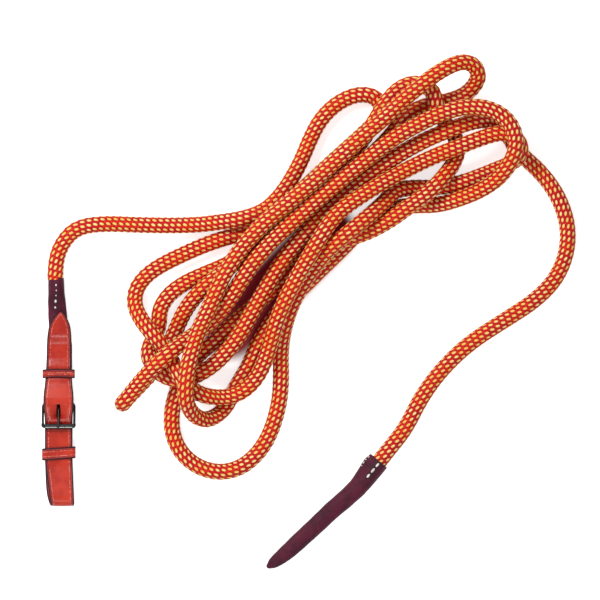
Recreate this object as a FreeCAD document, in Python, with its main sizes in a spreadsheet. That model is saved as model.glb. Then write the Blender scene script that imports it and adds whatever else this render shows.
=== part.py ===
import FreeCAD, Part
import math
import os

# Training leash: a long braided rope lying in a loose hank, a buckled leather strap
# loop at one end and a leather tip at the other. Millimetres, +Z up, +Y along the
# strap towards the rope, origin on the floor under the buckle's front bar.

V = FreeCAD.Vector
doc = FreeCAD.newDocument("training_leash")

SIZES = [
    ("rope_dia", 12.0, "braided rope, measured over the braid"),
    ("strap_thick", 2.6, "leather of the strap"),
    ("strap_wide", 20.0, "width of the strap at the buckle"),
    ("tip_wide", 17.0, "width of the strap near its pointed end"),
    ("eye_gap", 5.5, "clear height inside the strap's bottom fold"),
    ("layer_gap", 0.3, "clearance between two layers of leather"),
    ("strap_tuck", 18.0, "back layer of the strap inside the sleeve"),
    ("point_long", 10.5, "length of the strap's point"),
    ("short_rise", 6.0, "run of the strap's short rises"),
    ("long_rise", 12.0, "run of the strap's long rises"),
    ("soft_bend", 12.0, "radius of the strap's gentle bends"),
    ("firm_bend", 9.0, "radius of the strap's tighter bends"),
    ("slot_long", 10.3, "length of the prong's slot in the strap"),
    ("chape_thick", 1.5, "thinner leather of the chape and keepers"),
    ("chape_wide", 17.4, "width of the chape"),
    ("chape_end", 30.5, "where the chape's legs end"),
    ("chape_ramp", 8.0, "run of the chape's upper leg down to the lower one"),
    ("slot_wide", 4.4, "slot for the prong, through chape and strap"),
    ("wire_dia", 2.3, "wire of the buckle frame"),
    ("frame_inner", 20.6, "clear width inside the buckle frame"),
    ("heel_corner", 3.0, "bend of the frame at the heel bar"),
    ("front_corner", 1.6, "bend of the frame at the front bar"),
    ("frame_reach", 17.3, "heel bar axis to front bar axis"),
    ("heel_y", 17.5, "heel bar axis, along the strap"),
    ("heel_z", 6.1, "heel bar axis above the floor"),
    ("frame_tilt", 11.3, "lift of the front bar, degrees"),
    ("roller_dia", 4.0, "roller on the front bar"),
    ("roller_long", 19.6, "length of the roller"),
    ("run_fit", 0.1, "radial clearance of roller and prong eye"),
    ("prong_dia", 2.2, "prong"),
    ("prong_long", 18.8, "heel bar axis to the prong's tip"),
    ("prong_rise", 21.9, "prong above the horizontal at rest, degrees"),
    ("eye_wall", 1.0, "wall of the prong's eye"),
    ("eye_wide", 3.4, "width of the prong's eye"),
    ("keeper_thick", 1.4, "leather of both keepers"),
    ("keeper_inner", 20.8, "clear width inside the keepers"),
    ("fixed_long", 6.5, "fixed keeper along the strap"),
    ("slide_long", 9.5, "sliding keeper along the strap"),
    ("slide_travel", 2.0, "free travel of the sliding keeper, each way"),
    ("fixed_y", 36.0, "fixed keeper's lower edge, along the strap"),
    ("slide_y", -23.5, "sliding keeper's lower edge, along the strap"),
    ("fold_y", -57.5, "bottom fold of the strap"),
    ("end_y", 84.0, "pointed end of the strap"),
    ("sleeve_y", 68.0, "lower end of the leather sleeve"),
    ("sleeve_flat", 2.8, "thickness of the sleeve's flat end"),
    ("sleeve_mouth", 11.8, "sleeve at the rope's end"),
    ("sleeve_wide", 13.8, "width of the sleeve's flat end"),
    ("thread_dia", 0.9, "sewing thread"),
    ("thread_gap", 0.25, "sewing thread above the leather"),
    ("stitch_long", 2.0, "length of a stitch"),
    ("stitch_pitch", 4.2, "from one stitch to the next"),
]
sheet = doc.addObject("Spreadsheet::Sheet", "sizes")
for row, (alias, number, note) in enumerate(SIZES, start=1):
    sheet.set("A%d" % row, note)
    sheet.set("B%d" % row, str(number))
    sheet.setAlias("B%d" % row, alias)
doc.recompute()


def size(alias):
    return float(sheet.get(alias))


nodes = []


def keep(obj, name, place=None):
    obj.Label = name
    if place is not None:
        obj.Placement = place
    nodes.append((name, obj))
    return obj


def feature(name, shape):
    obj = doc.addObject("Part::Feature", name)
    obj.Shape = shape
    obj.Placement = FreeCAD.Placement()
    return keep(obj, name)


def plane(body, role):
    for item in body.Origin.OriginFeatures:
        if item.Role == role:
            return item
    raise RuntimeError(role)


def arc_path(points, radii):
    """Straight runs joined by tangent arcs, one arc at each inner point."""
    edges = []
    last = points[0]
    for i in range(1, len(points) - 1):
        back = (points[i - 1] - points[i]).normalize()
        ahead = (points[i + 1] - points[i]).normalize()
        half = (math.pi - back.getAngle(ahead)) / 2.0
        cut = radii[i - 1] * math.tan(half)
        start = points[i] + back * cut
        stop = points[i] + ahead * cut
        inward = (back + ahead).normalize()
        top = points[i] + inward * (radii[i - 1] / math.cos(half) - radii[i - 1])
        if (start - last).Length > 1e-4:
            edges.append(Part.LineSegment(last, start).toShape())
        edges.append(Part.Arc(start, top, stop).toShape())
        last = stop
    edges.append(Part.LineSegment(last, points[-1]).toShape())
    return edges


def ribbon(points, radii, thick, wide):
    """A leather band: its side view follows a path in the Y-Z plane."""
    flat = [V(0, y, z) for y, z in points]
    sides = []
    for sign in (1.0, -1.0):
        off = sign * thick / 2.0
        line = []
        bend = []
        for i in range(len(flat)):
            before = flat[i] - flat[i - 1] if i > 0 else flat[1] - flat[0]
            after = flat[i + 1] - flat[i] if i < len(flat) - 1 else before
            before = V(before).normalize()
            after = V(after).normalize()
            left = V(0, -before.z, before.y)
            right = V(0, -after.z, after.y)
            mean = left + right
            line.append(flat[i] + mean * (2.0 * off / mean.Length ** 2))
            if 0 < i < len(flat) - 1:
                turn = before.y * after.z - before.z * after.y
                bend.append(radii[i - 1] - off if turn > 0 else radii[i - 1] + off)
        sides.append(arc_path(line, bend))
    first = sides[0]
    second = sides[1]
    one = Part.LineSegment(first[-1].Vertexes[-1].Point, second[-1].Vertexes[-1].Point)
    two = Part.LineSegment(first[0].Vertexes[0].Point, second[0].Vertexes[0].Point)
    wire = Part.Wire(Part.__sortEdges__(first + second + [one.toShape(), two.toShape()]))
    face = Part.Face(wire)
    face.translate(V(-wide / 2.0, 0, 0))
    return face.extrude(V(wide, 0, 0))


def prism(outline, low, high):
    """A straight prism over a closed outline in plan."""
    corners = [V(x, y, low) for x, y in outline]
    face = Part.Face(Part.makePolygon(corners + [corners[0]]))
    return face.extrude(V(0, 0, high - low))


def thread(ends):
    """A row of stitches: short threads lying just above pairs of points."""
    rad = size("thread_dia") / 2.0
    lift = rad + size("thread_gap")
    row = []
    for first, second in ends:
        a = V(*first) + V(0, 0, lift)
        b = V(*second) + V(0, 0, lift)
        row.append(Part.makeCylinder(rad, (b - a).Length, a, b - a))
    return Part.makeCompound(row)


# The rope's route, end to end: from the strap's sleeve, round the loose hank, to
# the leather tip. Points in millimetres, chosen by hand; the rope lies on the floor
# at z = 6 and rides over itself where two stretches cross.
ROUTE = [
    # lead from the strap
    (-2.5, 107, 7), (-2.5, 120, 7), (2.5, 134, 7), (13, 145, 7), (32, 148, 6.5), (64, 146.5, 6), (98, 146.5, 7),
    (119, 149, 13), (135, 151.5, 18.5), (149, 156.5, 18.5), (159, 165.5, 18.5), (168, 178, 16), (176, 193, 11),
    (182, 208, 7), (189, 222, 6), (199, 233, 6), (211, 240, 6), (222, 242, 6), (231, 239, 6), (235, 231, 6),
    (230, 221.5, 6),
    # under the top strand
    (219, 211, 6), (201, 195, 6), (183, 178, 6), (163.5, 160, 6), (150, 148, 6), (136, 141, 6),
    # outer left loop
    (121, 137.5, 6), (105, 132, 6), (88, 124.5, 6), (73, 117, 6), (62, 109, 6), (55.5, 99, 6.5), (55, 88, 9),
    (60, 78, 14), (67, 69, 19.5), (74, 61.5, 20.5), (79.5, 53.5, 21), (84, 45, 26.5), (89, 36.5, 31.5), (95, 29, 30.5),
    (104, 23.5, 27), (115, 21.5, 20), (127, 22.5, 18.5), (138, 29, 18.5), (146, 39, 18.5), (151, 51, 18.5),
    (154.5, 64, 21.5), (160, 82, 28), (167, 97.5, 31), (176, 114, 31), (185.5, 130, 34.5), (193, 143, 35.5),
    (202, 155, 32), (214, 164, 30), (232, 175.5, 27), (250, 185.5, 21.5), (270, 195.5, 18.5), (292, 204, 19.5),
    (309, 210.5, 18.5), (320, 213.5, 18.5), (329, 212, 18.5), (335, 205.5, 18.5), (335, 198, 18.5), (329, 191.5, 15.5), (319, 187.5, 10),
    # back under the right loop
    (308, 183, 6), (292, 177, 6), (273, 173.5, 6), (255, 174, 7.5), (243.5, 171.5, 11), (236, 163, 17), (226, 154, 26),
    (214, 144, 31), (204, 136, 31), (196, 129, 27.5), (188.5, 120, 21), (179, 107, 18.5), (170, 91, 18.5),
    (165, 77, 16.5), (162, 64, 10), (161, 51, 6),
    # big bottom loop
    (161.5, 35, 6), (160.5, 20, 6), (157, 5, 6), (151.5, -9, 6), (143, -21, 6), (132, -29.5, 6), (119, -33, 6),
    (106, -31, 6), (94.5, -24.5, 6), (86, -14.5, 6), (82, -2, 6), (82, 11, 6), (85, 24, 6), (91, 39, 6),
    (99.5, 51, 6), (112, 61.5, 6), (127, 75.5, 6), (145, 91, 6), (162, 106, 6), (172, 118, 6), (180.5, 127, 7),
    (190, 132.5, 11), (200, 134, 17), (212, 137, 18.5), (228, 143, 18.5), (242, 151, 18.5), (256, 161.5, 18.5),
    (268, 169.5, 19), (278, 180, 18), (286, 190, 9.5), (290.5, 201, 6), (288, 211, 6), (281, 220, 8),
    (275.5, 228, 17), (273.5, 236, 19),
    # bulge at the top
    (271.5, 243, 18.5), (266, 248, 18.5), (258.5, 249.5, 18.5), (250.5, 247.5, 18.5), (243.5, 242.5, 18.5),
    (237, 234.5, 18.5), (230, 223, 18.5), (220, 207, 18.5), (204.5, 188, 18.5), (187.5, 171.5, 18.5),
    (167, 153, 18.5), (152, 141, 18.5), (139, 128, 18.5), (126, 117.5, 18.5), (113, 107.5, 18.5), (101, 97, 16),
    (91.5, 85, 9), (85, 70.5, 6), (79, 57, 6), (69.5, 42, 6), (58.5, 30, 6), (50, 21.3, 6),
    # fold at the left end
    (46.7, 17.3, 11), (46.5, 17, 18.6), (50, 21, 24), (57.5, 30.5, 27.5), (69, 43.5, 34), (79, 53, 37),
    (90, 61, 28), (102, 69.5, 18.5), (112, 78, 18.5), (122, 90, 22), (131, 104, 27), (142, 120.5, 30),
    (158, 138.5, 29.5), (179, 157, 30), (203, 178, 29.5), (224, 195, 29.5), (243, 209.5, 30), (262, 220, 31),
    (281, 229, 31), (300, 232.5, 31), (315, 230, 31), (325.5, 222.5, 31), (331, 212, 31), (331.5, 200.5, 31),
    (326, 189, 28), (317.5, 179, 22), (306, 171.5, 17), (291, 165.5, 11.5), (275, 161, 6), (259, 161, 6),
    (246, 160, 6), (233, 153, 6), (219, 143, 6), (207, 130.5, 6), (192, 116, 6), (177, 101, 6), (163, 89, 6),
    (152, 72.5, 6), (143.5, 58.5, 6), (139, 46, 6), (132, 34.5, 6), (126.5, 25, 6), (121.5, 14.5, 6.5),
    (114, 7.5, 12), (105.5, 5, 20), (97.5, 9.5, 30), (93, 18.5, 40), (92.5, 30, 44.5), (94, 43, 43.5), (97.5, 57.5, 39),
    (102, 71, 33), (109.5, 86.5, 31), (116, 102, 31), (124.5, 118, 31), (135, 133, 31), (151, 150, 33),
    (168.5, 164, 34.5), (186.5, 179.5, 34.5), (204.5, 196.5, 34.5), (221.5, 211.5, 34), (237, 224.5, 32.5), (248, 235.5, 31),
    (260, 245.5, 31.5), (273, 255.5, 30), (285, 262.5, 27), (294.5, 265, 23), (302, 262, 19), (305, 254.5, 14),
    (301, 246.5, 10), (293, 240, 7), (280, 236, 6), (264, 233, 6), (251, 225.5, 6), (242.5, 213, 6),
    (228, 198, 6), (207, 180.5, 6), (184, 161, 6), (162, 141.5, 6), (147, 130.5, 6), (133, 124, 6), (118, 116, 6),
    # second left loop
    (104, 110.5, 6), (90, 104, 6), (79, 95.5, 6), (73, 85, 6), (73, 75, 6), (69.5, 65, 6), (64.5, 56, 11.5),
    (67, 46, 18.5), (74, 38.5, 18.5), (85, 34, 18.5), (97, 36, 18.5), (109, 42.5, 18.5), (119.5, 51.5, 18.5),
    (129.5, 64, 18.5), (140, 82.5, 18.5), (150, 100.5, 18.5), (162.5, 121.5, 18.5), (177, 139, 18.5),
    (197, 159.5, 18.5), (218, 177.5, 18.5), (240, 193.5, 18.5), (262, 206.5, 18.5), (284, 216, 21),
    (301, 222, 14.5), (313, 223, 7), (322, 218.5, 6), (327.5, 210.5, 6), (332, 202, 6), (339, 195, 6),
    # tail to the tip
    (348, 187, 6), (357, 176.5, 6), (365, 162.5, 6), (370, 145, 6), (369, 126, 6), (361, 107, 6),
    (345, 91, 6), (322, 76.5, 6), (298, 61, 6), (278, 42, 6), (263, 21.5, 6), (252, -1, 6), (239, -17, 6),
    (230, -28.5, 6),
]


# ---------------------------------------------------------------- rope
def tube(route, dia):
    """The rope's tube: straight runs joined by arcs as large as the runs allow."""
    pts = [V(*p) for p in route]
    radii = []
    for i in range(1, len(pts) - 1):
        back = pts[i] - pts[i - 1]
        ahead = pts[i + 1] - pts[i]
        turn = back.getAngle(ahead)
        radii.append(0.45 * min(back.Length, ahead.Length) / math.tan(turn / 2.0))
    wire = Part.Wire(arc_path(pts, radii))
    ring = Part.Wire(Part.makeCircle(dia / 2.0, pts[0], pts[1] - pts[0]).Edges)
    solid = wire.makePipeShell([ring], True, False)
    wanted = math.pi * dia ** 2 / 4.0 * wire.Length
    print("rope length %.1f mm, volume %.4f of section x length" % (wire.Length, solid.Volume / wanted))
    print("radii under 20 mm:", [round(r, 1) for r in sorted(radii) if r < 20.0])
    return solid


feature("rope", tube(ROUTE, size("rope_dia")))

# ---------------------------------------------------------------- strap
# One leather band: from the sleeve down the back, round the bottom fold, up the
# front, under the buckle's front bar, over the heel bar and on to its pointed end.
thick = size("strap_thick")
gap = size("layer_gap")
leg = size("chape_thick")
wrap = size("keeper_thick")
heel_y = size("heel_y")
heel_z = size("heel_z")
bar = size("wire_dia") / 2.0
tilt = math.radians(size("frame_tilt"))
front_y = heel_y - size("frame_reach") * math.cos(tilt)
front_z = heel_z + size("frame_reach") * math.sin(tilt)
roll = size("roller_dia") / 2.0
low = thick / 2.0
fold = (size("eye_gap") + thick) / 2.0
fold_y = size("fold_y")
raised = low + wrap + gap
lying = raised + thick + gap
under = front_z - roll - 1.5 * gap - low
over = heel_z + bar + size("run_fit") * 2 + leg + gap + low
fixed_y = size("fixed_y")
fixed_top = fixed_y + size("fixed_long")
slide_y = size("slide_y")
slide_top = slide_y + size("slide_long")
keeper_low = thick + gap
beside = keeper_low + wrap + gap + low
flat = thick + gap + low
sleeve_y = size("sleeve_y")
end_y = size("end_y")
sleeve_low = size("sleeve_flat")
step = thick + gap + sleeve_low + gap + low
travel = size("slide_travel")
tuck = size("strap_tuck")
short = size("short_rise")
ease = short / 2.0
long = size("long_rise")
soft = size("soft_bend")
firm = size("firm_bend")
side = [
    (sleeve_y + tuck, low), (slide_top + travel + short + ease, low), (slide_top + travel + ease, raised),
    (slide_y - travel - ease, raised), (slide_y - travel - ease - long, low), (fold_y + low, low),
    (fold_y + low, low + 2.0 * fold), (fold_y + low + short, low + 2.0 * fold),
    (slide_y - travel - ease, lying), (front_y - short, lying), (front_y + ease / 2.0, under),
    (heel_y - ease, over), (heel_y + ease, over), (fixed_y - 0.8 * short, beside + 0.8 * thick),
    (fixed_y - ease / 3.0, beside), (fixed_top + ease / 2.0, beside), (fixed_top + short + ease / 2.0, flat),
    (sleeve_y - 1.2 * short, flat), (sleeve_y - ease / 3.0, step), (end_y, step + gap),
]
bends = [soft, soft, soft, soft, fold, fold] + 4 * [soft] + 2 * [firm] + 2 * [soft] + 4 * [firm]
half = size("strap_wide") / 2.0
slim = size("tip_wide") / 2.0
point = size("point_long")
level = thick + gap / 2.0
floor = -thick
sky = 3.0 * size("rope_dia")
flat_y = front_y + gap
slot_half = size("slot_wide") / 2.0
slot_end = heel_y - low / 2.0
plan_low = prism(
    [(-half, fold_y + short), (ease / 2.0 - half, fold_y - low), (half - ease / 4.0, fold_y - low),
     (half, fold_y + ease), (half, flat_y), (-half, flat_y)],
    floor, sky,
)
plan_back = prism(
    [(-half, flat_y), (half, flat_y), (half, sleeve_y - short), (slim - thick, sleeve_y + ease),
     (slim - thick, sleeve_y + tuck + ease), (thick - slim, sleeve_y + tuck + ease), (thick - slim, sleeve_y + ease),
     (-half, sleeve_y - short)],
    floor, level,
)
plan_front = prism(
    [(-half, flat_y), (half, flat_y), (half, front_y + short), (slim, fixed_top + ease), (slim, end_y - point),
     (low, end_y - gap), (-low, end_y - gap), (-slim, end_y - point), (-slim, fixed_top + ease),
     (-half, front_y + short)],
    level, sky,
)
slot = prism(
    [(-slot_half, slot_end - size("slot_long")), (slot_half, slot_end - size("slot_long")), (slot_half, slot_end),
     (-slot_half, slot_end)],
    level, sky,
)
band = ribbon(side, bends, thick, 2.0 * half + short)
strap = Part.makeCompound([band.common(plan) for plan in (plan_low, plan_back, plan_front)])
strap = strap.Solids[0].multiFuse(strap.Solids[1:]).removeSplitter().cut(slot)
feature("strap", strap.Solids[0] if len(strap.Solids) == 1 else strap)

# chape: a thin strip folded round the heel bar, slotted for the prong
hug = bar + 2.0 * size("run_fit") + leg / 2.0
leg_low = heel_z - hug
leg_high = leg_low + leg + size("run_fit")
chape_end = size("chape_end")
ramp = size("chape_ramp")
chape = ribbon(
    [(chape_end, leg_low), (heel_y - hug, leg_low), (heel_y - hug, heel_z + hug), (heel_y + ramp / 8.0, heel_z + hug),
     (heel_y + ramp, leg_high), (chape_end, leg_high)],
    [hug, hug, firm / 2.0, firm / 2.0], leg, size("chape_wide"),
)
chape_slot = prism(
    [(-slot_half, heel_y - ramp), (slot_half, heel_y - ramp), (slot_half, heel_y + ramp - thick),
     (-slot_half, heel_y + ramp - thick)],
    thick, sky,
)
feature("chape", chape.cut(chape_slot))

# ---------------------------------------------------------------- buckle
bar_gap = size("frame_inner") / 2.0 + bar
reach = size("frame_reach")
heel_corner = size("heel_corner")
front_corner = size("front_corner")
tilt_place = FreeCAD.Placement(V(0, heel_y, heel_z), FreeCAD.Rotation(V(1, 0, 0), -size("frame_tilt")))
loop = arc_path(
    [V(0, 0, 0), V(bar_gap, 0, 0), V(bar_gap, -reach, 0), V(-bar_gap, -reach, 0), V(-bar_gap, 0, 0), V(0, 0, 0)],
    [heel_corner, front_corner, front_corner, heel_corner],
)
ring = Part.Wire(Part.makeCircle(bar, V(0, 0, 0), V(1, 0, 0)).Edges)
frame = Part.Wire(loop).makePipeShell([ring], True, False)
frame_obj = doc.addObject("Part::Feature", "buckle_frame")
frame_obj.Shape = frame
keep(frame_obj, "buckle_frame", tilt_place)

roller_out = doc.addObject("Part::Cylinder", "roller_body")
roller_out.setExpression("Radius", "sizes.roller_dia / 2")
roller_out.setExpression("Height", "sizes.roller_long")
roller_in = doc.addObject("Part::Cylinder", "roller_bore")
roller_in.setExpression("Radius", "sizes.wire_dia / 2 + sizes.run_fit")
roller_in.setExpression("Height", "sizes.roller_long + 2")
roller_in.Placement = FreeCAD.Placement(V(0, 0, -1), FreeCAD.Rotation())
roller = doc.addObject("Part::Cut", "buckle_roller")
roller.Base = roller_out
roller.Tool = roller_in
across = FreeCAD.Rotation(V(0, 1, 0), 90)
keep(roller, "buckle_roller", FreeCAD.Placement(V(-size("roller_long") / 2.0, front_y, front_z), across))

eye_out = doc.addObject("Part::Cylinder", "prong_eye")
eye_out.setExpression("Radius", "sizes.wire_dia / 2 + sizes.run_fit + sizes.eye_wall")
eye_out.setExpression("Height", "sizes.eye_wide")
eye_out.Placement = FreeCAD.Placement(V(-size("eye_wide") / 2.0, 0, 0), across)
needle = doc.addObject("Part::Cone", "prong_needle")
needle.setExpression("Radius1", "sizes.prong_dia / 2")
needle.setExpression("Radius2", "sizes.prong_dia / 2 - 0.3")
needle.setExpression("Height", "sizes.prong_long")
needle.Placement = FreeCAD.Placement(V(0, 0, 0), FreeCAD.Rotation(V(1, 0, 0), 90))
joined = doc.addObject("Part::Fuse", "prong_solid")
joined.Base = eye_out
joined.Tool = needle
eye_in = doc.addObject("Part::Cylinder", "prong_bore")
eye_in.setExpression("Radius", "sizes.wire_dia / 2 + sizes.run_fit")
eye_in.setExpression("Height", "sizes.eye_wide + 2")
eye_in.Placement = FreeCAD.Placement(V(-size("eye_wide") / 2.0 - 1, 0, 0), across)
prong = doc.addObject("Part::Cut", "buckle_prong")
prong.Base = joined
prong.Tool = eye_in
lean = FreeCAD.Rotation(V(1, 0, 0), -size("prong_rise"))
keep(prong, "buckle_prong", FreeCAD.Placement(V(0, heel_y, heel_z), lean))


# ---------------------------------------------------------------- keepers
def keeper(name, low_z, inner, along, place_y):
    """A closed leather loop round the strap: a sketched ring, padded along it."""
    body = doc.addObject("PartDesign::Body", name)
    sketch = body.newObject("Sketcher::SketchObject", name + "_ring")
    sketch.AttachmentSupport = [(plane(body, "XZ_Plane"), "")]
    sketch.MapMode = "FlatFace"
    wide = size("keeper_inner") / 2.0
    for grow in (0.0, wrap):
        corners = [(-wide - grow, -grow), (wide + grow, -grow), (wide + grow, inner + grow), (-wide - grow, inner + grow)]
        round_off = wrap / 2.0 + grow
        path = arc_path(
            [V(0, -grow, 0)] + [V(x, z, 0) for x, z in (corners[1], corners[2], corners[3], corners[0])]
            + [V(0, -grow, 0)],
            [round_off] * 4,
        )
        for edge in path:
            curve = edge.Curve
            if isinstance(curve, Part.Line):
                sketch.addGeometry(Part.LineSegment(edge.Vertexes[0].Point, edge.Vertexes[-1].Point), False)
            else:
                middle = edge.valueAt((edge.FirstParameter + edge.LastParameter) / 2.0)
                arc = Part.Arc(edge.Vertexes[0].Point, middle, edge.Vertexes[-1].Point)
                sketch.addGeometry(arc, False)
    pad = body.newObject("PartDesign::Pad", name + "_pad")
    pad.Profile = sketch
    pad.setExpression("Length", "sizes." + along)
    pad.Reversed = True
    body.Tip = pad
    doc.recompute()
    box = body.Shape.BoundBox
    return keep(body, name, FreeCAD.Placement(V(0, place_y - box.YMin, low_z), FreeCAD.Rotation()))


keeper("keeper_fixed", keeper_low + wrap, thick + 2.0 * gap, "fixed_long", fixed_y)
keeper("keeper_sliding", wrap, 2.0 * thick + 3.0 * gap, "slide_long", slide_y)

# ---------------------------------------------------------------- sleeve and tip
def ring_at(centre, ahead, half_w, half_h):
    """A flattened round section across a direction lying in plan."""
    out = V(ahead.y, -ahead.x, 0).normalize()
    if abs(half_w - half_h) < 0.05:
        return Part.Wire(Part.makeCircle(half_w, centre, ahead).Edges)
    if half_w > half_h:
        curve = Part.Ellipse(centre + out * half_w, centre + V(0, 0, half_h), centre)
    else:
        curve = Part.Ellipse(centre + V(0, 0, half_h), centre + out * half_w, centre)
    return Part.Wire(curve.toShape())


mouth = ROUTE[0]
mouth_r = size("sleeve_mouth") / 2.0
end_r = size("sleeve_wide") / 2.0
inside = thick + gap
sleeve_rings = [
    (mouth[1], mouth_r, mouth_r, mouth[2]),
    (mouth[1] - firm, mouth_r + gap / 2.0, mouth_r - wrap / 2.0, mouth[2] - gap),
    (sleeve_y + tuck + thick, end_r - gap, thick, inside + thick),
    (sleeve_y + tuck, end_r - gap, sleeve_low / 2.0, inside + sleeve_low / 2.0),
    (sleeve_y, end_r, sleeve_low / 2.0, inside + sleeve_low / 2.0),
]


def sleeve_mid(y):
    """The sleeve leans from the strap's middle to the rope's end."""
    return mouth[0] * (y - sleeve_y) / (mouth[1] - sleeve_y)


def sleeve_top(y):
    """Height of the sleeve's crown at a station along the strap."""
    for (y1, _, h1, z1), (y0, _, h0, z0) in zip(sleeve_rings, sleeve_rings[1:]):
        if y0 <= y <= y1:
            share = (y - y0) / (y1 - y0)
            return (z0 + h0) * (1 - share) + (z1 + h1) * share
    return 0.0


sleeve = Part.makeLoft(
    [ring_at(V(sleeve_mid(y), y, z), V(0, 1, 0), w, h) for y, w, h, z in sleeve_rings], True, True,
)
feature("sleeve", sleeve)

# sewing threads lying on the sleeve, one after the other
seam = []
for i in range(5):
    top_y = mouth[1] - thick - size("stitch_pitch") * i
    low_y = top_y - size("stitch_long")
    seam.append(((sleeve_mid(top_y), top_y, sleeve_top(top_y)), (sleeve_mid(low_y), low_y, sleeve_top(low_y))))
feature("sleeve_stitches", thread(seam))

last = V(*ROUTE[-1])
first_way = (last - V(*ROUTE[-2])).normalize()
tip_line = [(217.5, -44.5), (198.5, -61.5), (175.5, -82.5), (160.5, -95.5), (152.5, -101.0)]
tip_size = [(6.6, 5.4), (6.4, 4.6), (6.2, 4.0), (5.2, 3.4), (2.4, 2.2)]
tip_rings = [ring_at(last, first_way, size("rope_dia") / 2.0, size("rope_dia") / 2.0)]
spots = [V(last.x, last.y, 0)] + [V(x, y, 0) for x, y in tip_line]
for i, (wide_r, tall_r) in enumerate(tip_size, start=1):
    way = (spots[min(i + 1, len(spots) - 1)] - spots[i - 1]).normalize()
    tip_rings.append(ring_at(spots[i] + V(0, 0, tall_r + gap / 2.0), way, wide_r, tall_r))
feature("tip_cover", Part.makeLoft(tip_rings, True, True))
tip_sewn = []
across_tip = V(-first_way.y, first_way.x, 0) * size("stitch_long") / 2.0
for i in range(3):
    along = thick + size("stitch_pitch") * i
    share = along / (spots[1] - spots[0]).Length
    spot = spots[0] + (spots[1] - spots[0]) * share
    tall = size("rope_dia") * (1 - share) + (2.0 * tip_size[0][1] + size("layer_gap")) * share
    one = spot + across_tip + V(0, 0, tall)
    two = spot - across_tip + V(0, 0, tall)
    tip_sewn.append((tuple(one), tuple(two)))
feature("tip_stitches", thread(tip_sewn))

# ---------------------------------------------------------------- check and write
doc.recompute()
for obj in doc.Objects:
    if "Invalid" in obj.State or "Error" in obj.State:
        raise RuntimeError("failed: " + obj.Name)
for name, obj in nodes:
    if obj.Shape.isNull() or not obj.Shape.isValid():
        raise RuntimeError("bad shape: " + name)
os.makedirs("parts", exist_ok=True)
for name, obj in nodes:
    obj.Shape.exportStep("parts/" + name + ".step")
    box = obj.Shape.BoundBox
    print(name, len(obj.Shape.Solids), round(obj.Shape.Volume, 1), [round(v, 1) for v in (
        box.XMin, box.XMax, box.YMin, box.YMax, box.ZMin, box.ZMax)])
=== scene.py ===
import math

import bpy
import numpy as np
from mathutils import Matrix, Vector


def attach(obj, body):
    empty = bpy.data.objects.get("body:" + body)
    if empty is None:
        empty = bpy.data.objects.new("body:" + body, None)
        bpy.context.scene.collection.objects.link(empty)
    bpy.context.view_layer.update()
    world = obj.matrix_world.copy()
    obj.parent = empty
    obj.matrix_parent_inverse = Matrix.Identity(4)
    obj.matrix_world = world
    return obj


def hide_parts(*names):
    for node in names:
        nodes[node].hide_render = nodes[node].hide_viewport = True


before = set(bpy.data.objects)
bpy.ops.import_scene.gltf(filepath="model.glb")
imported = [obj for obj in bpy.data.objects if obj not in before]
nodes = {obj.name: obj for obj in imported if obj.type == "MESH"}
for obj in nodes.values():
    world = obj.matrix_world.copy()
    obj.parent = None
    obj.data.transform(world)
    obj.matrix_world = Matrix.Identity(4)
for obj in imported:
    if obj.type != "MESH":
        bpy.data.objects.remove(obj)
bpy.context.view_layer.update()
scene = bpy.context.scene
scene.view_settings.view_transform = "Standard"
MM = 0.001


def link(obj):
    scene.collection.objects.link(obj)
    return obj


# ------------------------------------------------------------------ camera
cam_data = bpy.data.cameras.new("camera")
cam_data.sensor_width = 36.0
CAM_FAR = 5.0
VIEW_WIDE = 0.4362
cam_data.lens = 36.0 * CAM_FAR / VIEW_WIDE
cam_data.clip_end = 50.0
camera = link(bpy.data.objects.new("camera", cam_data))
camera.location = (0.1752, 0.0923, CAM_FAR)
camera.rotation_euler = (0.0, 0.0, 0.0)
scene.camera = camera

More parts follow.
